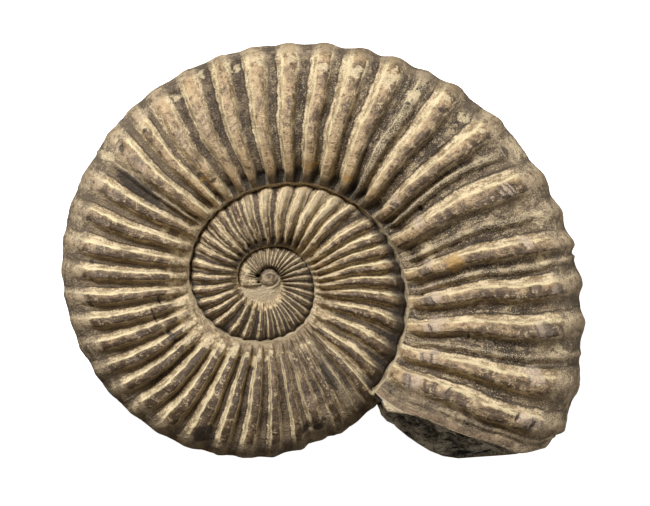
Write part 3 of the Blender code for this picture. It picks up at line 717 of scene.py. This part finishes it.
class Shader:
    """A new material, with a short way to add each kind of node that its colours need."""

    def __init__(self, name):
        self.material = bpy.data.materials.new(name)
        self.material.use_nodes = True
        self.tree = self.material.node_tree
        self.surface = self.tree.nodes["Principled BSDF"]

    def add(self, kind, sockets, **settings):
        """Adds a node with its settings; each socket gets a value, a hex colour or a link to its source."""
        node = self.tree.nodes.new(kind)
        for name, value in settings.items():
            setattr(node, name, value)
        for key, value in sockets.items():
            if isinstance(value, bpy.types.NodeSocket):
                self.tree.links.new(value, node.inputs[key])
            else:
                node.inputs[key].default_value = colour(value) if isinstance(value, str) else value
        return node

    def mix(self, share, low, high):
        """The colour low where share is 0 and high where it is 1."""
        return self.add("ShaderNodeMix", {0: share, 6: low, 7: high}, data_type="RGBA").outputs[2]

    def ramp(self, value, start, end, low=0.0, high=1.0):
        """A smooth step from low to high as a value goes from start to end."""
        sockets = {0: value, 1: start, 2: end, 3: low, 4: high}
        return self.add("ShaderNodeMapRange", sockets, interpolation_type="SMOOTHSTEP").outputs[0]

    def between(self, value, start, full, past, end):
        """Rises from 0 to 1 between start and full, and falls to 0 again between past and end."""
        return self.times(self.ramp(value, start, full), self.ramp(value, end, past))

    def math(self, operation, a, b):
        return self.add("ShaderNodeMath", {0: a, 1: b}, operation=operation).outputs[0]

    def times(self, first, *others):
        for other in others:
            first = self.math("MULTIPLY", first, other)
        return first

    def plus(self, first, *others):
        for other in others:
            first = self.math("ADD", first, other)
        return first

    def weigh(self, *terms):
        """Sum of values, each times its weight."""
        return self.plus(*(self.times(value, weight) for value, weight in terms))

    def noise(self, place, size_mm, detail=3.0, roughness=0.55):
        """Noise on object coordinates with features of about this size."""
        sockets = {0: place, 2: 0.5 / (size_mm * MM), 3: detail, 4: roughness}
        return self.add("ShaderNodeTexNoise", sockets).outputs["Fac"]

    def cells(self, place, scale=1.0, **settings):
        return self.add("ShaderNodeTexVoronoi", {0: place, 2: scale}, **settings)

    def own_value(self, cells):
        """A random value of each cell's own."""
        return self.add("ShaderNodeSeparateColor", {0: cells.outputs["Color"]}).outputs[0]

    def grains(self, place, size_mm, amount):
        """Round grains of about this size on object coordinates; amount is the share of them that show."""
        cells = self.cells(place, 1.0 / (size_mm * MM))
        shown = self.math("LESS_THAN", self.own_value(cells), amount)
        return self.times(shown, self.ramp(cells.outputs["Distance"], 0.55, 0.3))

    def mark(self, name):
        """A value that the mesh carries at each of its points."""
        return self.add("ShaderNodeAttribute", {}, attribute_name=name).outputs["Fac"]


class FossilShader(Shader):
    """The ammonite's stone: marks from the mesh, noises of several sizes, and masks of the ribs' parts."""

    def __init__(self):
        super().__init__("fossil_stone")
        self.place = self.add("ShaderNodeTexCoord", {}).outputs["Object"]
        self.rib = self.mark("rib")
        self.share = self.mark("share")
        self.line = self.mark("line")
        self.size = self.mark("size")
        self.sunny = self.mark("sunny")
        self.patchy = self.noise(self.place, 1.8, 4.0, 0.65)
        self.ragged = self.noise(self.place, 0.6, 4.0, 0.65)
        self.grit = self.noise(self.place, 0.17, 2.0, 0.6)
        self.loose = self.plus(self.ragged, -0.5)
        self.speck = self.weigh((self.ragged, 0.65), (self.grit, 0.35))
        self.streak = self.streaks()
        self.plate, self.plate_edge = self.plates()
        self.mask_ribs()

    def streaks(self):
        """Streaks of the stone along the ribs, about 0."""
        sockets = {0: self.times(self.line, 0.7), 1: self.times(self.share, 7.0)}
        along = self.add("ShaderNodeCombineXYZ", sockets).outputs[0]
        streak = self.add("ShaderNodeTexNoise", {0: along, 2: 1.6, 3: 3.0, 4: 0.6})
        return self.plus(streak.outputs[0], -0.5)

    def plates(self):
        """Thin beds across the crests, cracked into plates: a value of each plate's own, and its edge."""
        middle = self.mark("mid")
        aslant = self.weigh((self.math("SUBTRACT", self.line, middle), 0.12), (self.loose, 0.9))
        across = self.add(
            "ShaderNodeCombineXYZ",
            {0: self.times(middle, 3.7), 1: self.plus(self.times(self.share, 14.0), aslant)},
        ).outputs[0]
        edges = self.cells(across, feature="DISTANCE_TO_EDGE")
        return self.own_value(self.cells(across)), edges.outputs["Distance"]

    def mask_ribs(self):
        away = self.plus(self.rib, self.times(self.loose, 0.8))
        keen = self.plus(self.rib, self.times(self.loose, 0.35))
        # Towards the window the dust colour reaches farther down each rib; on the far side the dark groove
        # colour climbs the slope as painted shade.
        dip = self.times(self.sunny, -0.35)
        past = self.plus(keen, dip)
        lit_slope = self.times(self.ramp(self.sunny, 0.02, 0.2), self.ramp(self.size, 0.4, 0.8))
        self.crest = self.times(self.ramp(away, 0.75, 0.55), self.ramp(self.size, 0.65, 0.85))
        self.groove = self.ramp(self.plus(away, dip), 0.95, 1.35)
        self.small = self.ramp(self.size, 0.85, 0.65)
        self.outer = self.ramp(self.line, 318.0, 312.0)
        # Pale lines along the ribs' upper edges, on the lit side and fainter on the far side: partly painted
        # highlight.
        self.ledge = self.times(self.between(keen, 0.48, 0.60, 0.76, 0.90), lit_slope)
        self.far_ledge = self.times(
            self.between(keen, 0.92, 1.0, 1.12, 1.22), self.ramp(self.sunny, -0.02, -0.2)
        )
        self.crack = self.times(self.between(past, 1.08, 1.16, 1.26, 1.36), lit_slope, self.outer)

    def patch(self, name, wild=1.6, start=0.0, end=0.3):
        """Inside of the patches of a kind, with a ragged edge."""
        return self.ramp(self.plus(self.mark(name), self.times(self.loose, wild)), start, end)


def worn_brown(s):
    """Brown of the crests: darker and lighter beds and streaks of the stone, painted lighter on the side
    towards the window and with painted shade down the far side.
    """
    shade = s.plus(
        s.times(s.mark("tone"), 0.7), s.times(s.plus(s.patchy, -0.5), 1.4),
        s.times(s.plus(s.plate, -0.6), 0.3), s.times(s.streak, 1.3), s.times(s.sunny, s.rib, 0.5),
        s.times(s.ramp(s.share, 0.34, 0.16, 0.0, 0.3), s.ramp(s.line, 165.0, 140.0)),
    )
    brown = s.mix(s.ramp(shade, 0.0, 0.95), "#523f2a", "#b99b71")
    brown = s.mix(s.ramp(s.speck, 0.47, 0.38, 0.0, 0.75), brown, "#3e2e1e")
    return s.mix(s.ramp(s.speck, 0.53, 0.62, 0.0, 0.65), brown, "#cdb48a")


def dried_tan(s):
    """Tan mud dried on the sides of the ribs."""
    dust = s.weigh((s.patchy, 0.5), (s.grit, 0.5), (s.streak, 0.6))
    return s.mix(s.ramp(dust, 0.38, 0.64), "#86704f", "#dac49c")


def groove_floor(s):
    """Dark floor of the grooves, its darkness partly painted shade, with pale grit in clusters, thickest
    along the small ribs.
    """
    soil = s.mix(s.ramp(s.weigh((s.grit, 0.5), (s.patchy, 0.5)), 0.40, 0.60), "#3a2e20", "#685743")
    near = s.times(s.between(s.share, 0.03, 0.08, 0.22, 0.34), s.ramp(s.line, 165.0, 140.0))
    soil = s.mix(s.times(near, 0.25), soil, "#8a7558")
    clear_of_top = s.math("MAXIMUM", s.ramp(s.line, 40.0, 20.0), s.ramp(s.line, 130.0, 150.0))
    outward = s.times(s.ramp(s.share, 0.66, 0.80), s.outer, clear_of_top)
    soil = s.mix(s.times(outward, 0.5), soil, "#8f7a5c")
    soil = s.mix(s.times(s.between(s.line, 112.0, 135.0, 200.0, 222.0), 0.45), soil, "#7d6a50")
    soil = s.mix(s.ramp(s.line, 460.0, 560.0, 0.0, 0.55), soil, "#2c2218")
    clod = s.ramp(s.weigh((s.ragged, 0.5), (s.patchy, 0.5), (s.streak, 0.5)), 0.52, 0.60)
    soil = s.mix(s.times(clod, s.ramp(s.line, 30.0, 110.0, 0.6, 0.15)), soil, "#a8926d")
    thick = s.times(s.small, s.ramp(s.rib, 1.7, 0.2, 0.0, 0.5))
    cluster = s.weigh((s.patchy, 0.4), (s.plus(s.streak, 0.5), 0.6))
    cluster = s.plus(s.ramp(cluster, 0.42, 0.62, 0.03, 0.5), thick)
    grain = s.math("MAXIMUM", s.grains(s.place, 0.27, cluster), s.grains(s.place, 0.16, cluster))
    grain = s.times(
        grain, s.ramp(s.line, 60.0, 115.0, 0.65, 0.22), s.ramp(s.line, 200.0, 225.0, 1.0, 0.35),
        s.ramp(s.line, -33.0, -31.0, 0.5, 1.0),
    )
    return s.mix(grain, soil, "#cbb892")


def lined_ribs(s):
    """The ribs and grooves, with the cream edges, partly painted highlights, thin cracks and pale ends of
    the ribs.
    """
    stone = s.mix(s.crest, dried_tan(s), worn_brown(s))
    stone = s.mix(s.math("MAXIMUM", s.groove, s.small), stone, groove_floor(s))
    broken = s.weigh((s.patchy, 0.7), (s.grit, 0.3), (s.streak, 1.0))
    cream = s.times(
        s.ledge, s.ramp(broken, 0.25, 0.62, 0.3, 1.0), s.ramp(s.line, 90.0, 120.0, 0.7, 1.0),
        s.ramp(s.line, 440.0, 500.0, 1.0, 0.55),
    )
    # Cream line along the top of each rib's lit side: dried cream mud, brightened as a painted highlight.
    stone = s.mix(cream, stone, "#e2cf9f")
    # Fainter pale line along the far, shaded edge: a worn edge with a painted highlight.
    stone = s.mix(s.times(s.far_ledge, s.ramp(s.line, 205.0, 240.0, 0.2, 0.5)), stone, "#c0a880")
    stone = s.mix(s.times(s.crack, 0.7), stone, "#231b13")
    ends = s.times(
        s.ramp(s.share, 0.40, 0.60), s.ramp(s.rib, 0.95, 0.7), s.between(s.line, 395.0, 415.0, 458.0, 475.0)
    )
    return s.mix(s.times(ends, 0.4), stone, "#d8c399")


def broken_lip(s, stone):
    """The shell's broken lip: a brown band with a pale edge beside the rock."""
    band = s.mix(s.ramp(s.weigh((s.patchy, 0.6), (s.grit, 0.4)), 0.38, 0.62), "#4c3b27", "#8c755a")
    outermost = s.ramp(s.plus(s.line, s.times(s.loose, 0.9)), -38.0, -38.3, 0.0, 0.8)
    band = s.mix(outermost, band, "#b5a281")
    return s.mix(s.ramp(s.plus(s.line, s.times(s.loose, 0.7)), -36.5, -36.9), stone, band)


def dusty_rim(s, stone):
    """Dust on the rim, where the ribs run over the outer edge, with painted shade round the bottom of the
    coil.
    """
    worn = s.weigh((s.grit, 0.3), (s.ragged, 0.35), (s.patchy, 0.35))
    worn = s.plus(worn, s.ramp(s.rib, 0.2, 1.6, 0.04, -0.05))
    dust = s.mix(s.ramp(worn, 0.43, 0.57), "#625442", "#b7a180")
    dust = s.mix(s.times(s.between(s.line, 30.0, 45.0, 70.0, 85.0), 0.5), dust, "#6b5a42")
    # Darker from rib line 215 on, round the bottom of the coil: painted shade on the side away from the
    # window.
    dust = s.mix(s.ramp(s.line, 215.0, 240.0, 0.0, 0.3), dust, "#4a3723")
    dust = s.mix(s.ramp(s.line, 262.0, 280.0, 0.0, 0.3), dust, "#4a3723")
    rim = s.ramp(s.plus(s.mark("rim"), s.times(s.plus(s.patchy, -0.5), 1.6)), 0.2, 0.7)
    return s.mix(s.times(rim, 0.75), stone, dust)


def dried_mud(s):
    """Pale mud, a little darker between rib lines 236 and 335, round the bottom of the coil."""
    mud = s.mix(s.ramp(s.weigh((s.speck, 0.7), (s.patchy, 0.3)), 0.42, 0.57), "#7b674b", "#cdb68d")
    return s.mix(s.times(s.between(s.line, 236.0, 250.0, 312.0, 335.0), 0.55), mud, "#6c5a43")


def packed_seams(s, stone, mud):
    """Mud packed against the seam, black painted shade in the crevices, at the walls' feet and at the
    centre, the seam's pale edge, and the first chamber.
    """
    stone = s.mix(s.patch("mud", 0.8, 0.15, 0.55), stone, mud)
    stone = s.mix(s.times(s.mark("crevice_shade"), 0.9), stone, "#261e16")
    edge = s.ramp(s.plus(s.share, s.times(s.loose, 0.002)), 0.0048, 0.0032)
    stone = s.mix(s.times(edge, 0.8), stone, "#b9a685")
    chamber = s.mix(s.ramp(s.ragged, 0.38, 0.62), "#5c4c39", "#ab9474")
    return s.mix(s.times(s.mark("dome"), s.ramp(s.mark("mud"), 0.75, 0.35)), stone, chamber)


def patched(s, stone):
    """Cream lime, amber stain and dark pits."""
    cream = s.times(s.patch("cream", 3.0, 0.1, 0.6), s.ramp(s.grit, 0.35, 0.55, 0.45, 0.85))
    stone = s.mix(cream, stone, "#cdb991")
    stone = s.mix(s.times(s.patch("amber", 2.0), 0.75), stone, "#ae8748")
    return s.mix(s.times(s.patch("dark", 1.3), 0.8), stone, "#2a2119")


def black_rock(s, mud):
    """Crystalline black rock in the mouth, with fine pale veins, painted shadow in its hollows, and the pale
    lobe beside it.
    """
    veined = s.noise(s.place, 3.0, 5.0, 0.7)
    crystal = s.weigh((s.grit, 0.15), (s.ragged, 0.25), (veined, 0.6))
    rock = s.mix(s.ramp(crystal, 0.44, 0.60), "#3b3833", "#e8e1d2")
    rock = s.mix(s.grains(s.place, 0.3, s.ramp(veined, 0.45, 0.65, 0.02, 0.25)), rock, "#d8d8d2")
    spread = s.add("ShaderNodeVectorMath", {0: s.place, 3: 320.0}, operation="SCALE").outputs[0]
    bent = s.add("ShaderNodeVectorMath", {0: spread, 1: s.ragged}, operation="ADD").outputs[0]
    veins = s.cells(bent, feature="DISTANCE_TO_EDGE").outputs["Distance"]
    rock = s.mix(s.ramp(veins, 0.035, 0.01, 0.0, 0.5), rock, "#c9c3b2")
    rock = s.mix(s.ramp(s.ragged, 0.38, 0.31), rock, "#141414")
    rock = s.mix(s.patch("crevice_shade", 1.0, 0.3, 0.6), rock, "#1c1c1b")
    return s.mix(s.patch("mud", 0.4, 0.12, 0.28), rock, s.mix(0.5, mud, "#dcc9a4"))


def fossil_material():
    """Ammonite stone: brown worn crests with a dull shine and a painted sheen, pale dusty sides painted
    lighter towards the window, dark gritty grooves partly painted shade.
    """
    s = FossilShader()
    mud = dried_mud(s)
    stone = dusty_rim(s, broken_lip(s, lined_ribs(s)))
    stone = packed_seams(s, stone, mud)
    # Bare shell, glossier, with a pinkish sheen painted into its colour as reflected light, and the cracks
    # of its plates.
    fresh = s.ramp(s.line, 60.0, 100.0, 1.0, 0.3)
    field = s.plus(s.mark("sheen"), s.times(s.loose, 1.2), s.times(s.plus(s.plate, -0.5), 0.7))
    sheen = s.times(s.ramp(field, -0.1, 0.5), fresh)
    cracked = s.times(
        s.ramp(s.plate_edge, 0.10, 0.02), s.crest, s.ramp(s.mark("sheen"), -0.4, 0.1), fresh
    )
    stone = s.mix(s.times(sheen, s.ramp(s.grit, 0.3, 0.6, 0.3, 0.65)), stone, "#bda792")
    stone = s.mix(s.times(cracked, 0.6), stone, "#33281d")
    stone = patched(s, stone)
    s.tree.links.new(s.mix(s.mark("rock"), stone, black_rock(s, mud)), s.surface.inputs["Base Color"])

    shine = s.math("MAXIMUM", s.times(s.crest, 0.7), sheen)
    s.tree.links.new(s.ramp(shine, 0.0, 1.0, 0.85, 0.40), s.surface.inputs["Roughness"])
    relief = s.weigh(
        (s.ragged, 0.8), (s.patchy, 1.0), (s.grit, s.plus(s.times(s.groove, 0.4), 0.6)), (cracked, -0.6)
    )
    bump = s.add("ShaderNodeBump", {0: 1.0, 1: 0.42 * MM, "Height": relief})
    s.tree.links.new(bump.outputs["Normal"], s.surface.inputs["Normal"])
    return s.material


def floor_material():
    """Plain white studio floor."""
    shader = Shader("white_floor")
    shader.surface.inputs["Base Color"].default_value = colour("#f4f4f2")
    shader.surface.inputs["Roughness"].default_value = 0.9
    shader.surface.inputs["Emission Color"].default_value = colour("#ffffff")
    shader.surface.inputs["Emission Strength"].default_value = 0.95
    return shader.material


# ---------------------------------------------------------------- floor, light and camera
# The view's width and height, and where the coil's centre is in it from the left and from the top.
VIEW_SIZE = (123.5, 96.14)
COIL_IN_VIEW = (50.73, 53.39)
CAMERA_DISTANCE = 1400.0
LENS = 100.0
# Name, bearing, elevation, size in metres and watts of each light.
LIGHTS = [("window", 118.0, 45.0, 0.30, 12.5), ("reflector", 5.0, 22.0, 0.50, 3.0)]
LIGHT_TARGET = (0.0, 0.0, 0.014)
LIGHT_DISTANCE = 0.9
LIGHT_COLOUR = (0.97, 1.0, 1.07)


def look_at(thing, spot, towards, up):
    """Sets an object at a spot with its -Z towards a place and its +Y near up."""
    back = (spot - towards).normalized()
    right = up.cross(back).normalized()
    over = back.cross(right)
    turn = Matrix((right, over, back)).transposed().to_4x4()
    thing.matrix_world = Matrix.Translation(spot) @ turn


def add_floor():
    bpy.ops.mesh.primitive_plane_add(size=4.0, location=(0.0, 0.0, 0.0))
    floor = bpy.context.object
    floor.name = "studio_floor"
    floor.data.materials.append(floor_material())
    floor.visible_diffuse = False
    floor.visible_glossy = False


def add_area_light(name, bearing, elevation, size, watts):
    light = bpy.data.lights.new(name, "AREA")
    light.shape = "DISK"
    light.size = size
    light.energy = watts
    light.color = LIGHT_COLOUR
    lamp = bpy.data.objects.new(name, light)
    bpy.context.scene.collection.objects.link(lamp)
    a, e = math.radians(bearing), math.radians(elevation)
    direction = Vector((math.cos(a) * math.cos(e), math.sin(a) * math.cos(e), math.sin(e)))
    target = Vector(LIGHT_TARGET)
    look_at(lamp, target + direction * LIGHT_DISTANCE, target, Vector((0.0, 0.0, 1.0)))


def add_camera():
    """A long lens looking down the coil's axis."""
    place = coil_to_frame()
    shift_x = VIEW_SIZE[0] / 2 - COIL_IN_VIEW[0]
    shift_y = COIL_IN_VIEW[1] - VIEW_SIZE[1] / 2
    towards = place @ Vector((shift_x, shift_y, 0.0)) * MM
    spot = place @ Vector((shift_x, shift_y, CAMERA_DISTANCE)) * MM
    camera = bpy.data.cameras.new("camera")
    camera.lens = LENS
    camera.sensor_fit = "HORIZONTAL"
    camera.sensor_width = LENS * VIEW_SIZE[0] / CAMERA_DISTANCE
    camera.clip_end = 20.0
    item = bpy.data.objects.new("camera", camera)
    bpy.context.scene.collection.objects.link(item)
    up = (place.to_3x3() @ Vector((0.0, 1.0, 0.0))).normalized()
    look_at(item, spot, towards, up)
    bpy.context.scene.camera = item


def add_light():
    """A soft window at the upper left, a weak reflector at the right and a little warm light all round."""
    for light in LIGHTS:
        add_area_light(*light)
    world = bpy.data.worlds.new("studio")
    bpy.context.scene.world = world
    world.use_nodes = True
    background = world.node_tree.nodes["Background"]
    background.inputs["Color"].default_value = colour("#ffefd8")
    background.inputs["Strength"].default_value = 0.152


bpy.context.scene.view_settings.view_transform = "Standard"

ammonite = make_ammonite()
ammonite.data.materials.append(fossil_material())
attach(ammonite, "root")
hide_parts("ammonite")

add_floor()
add_light()
add_camera()
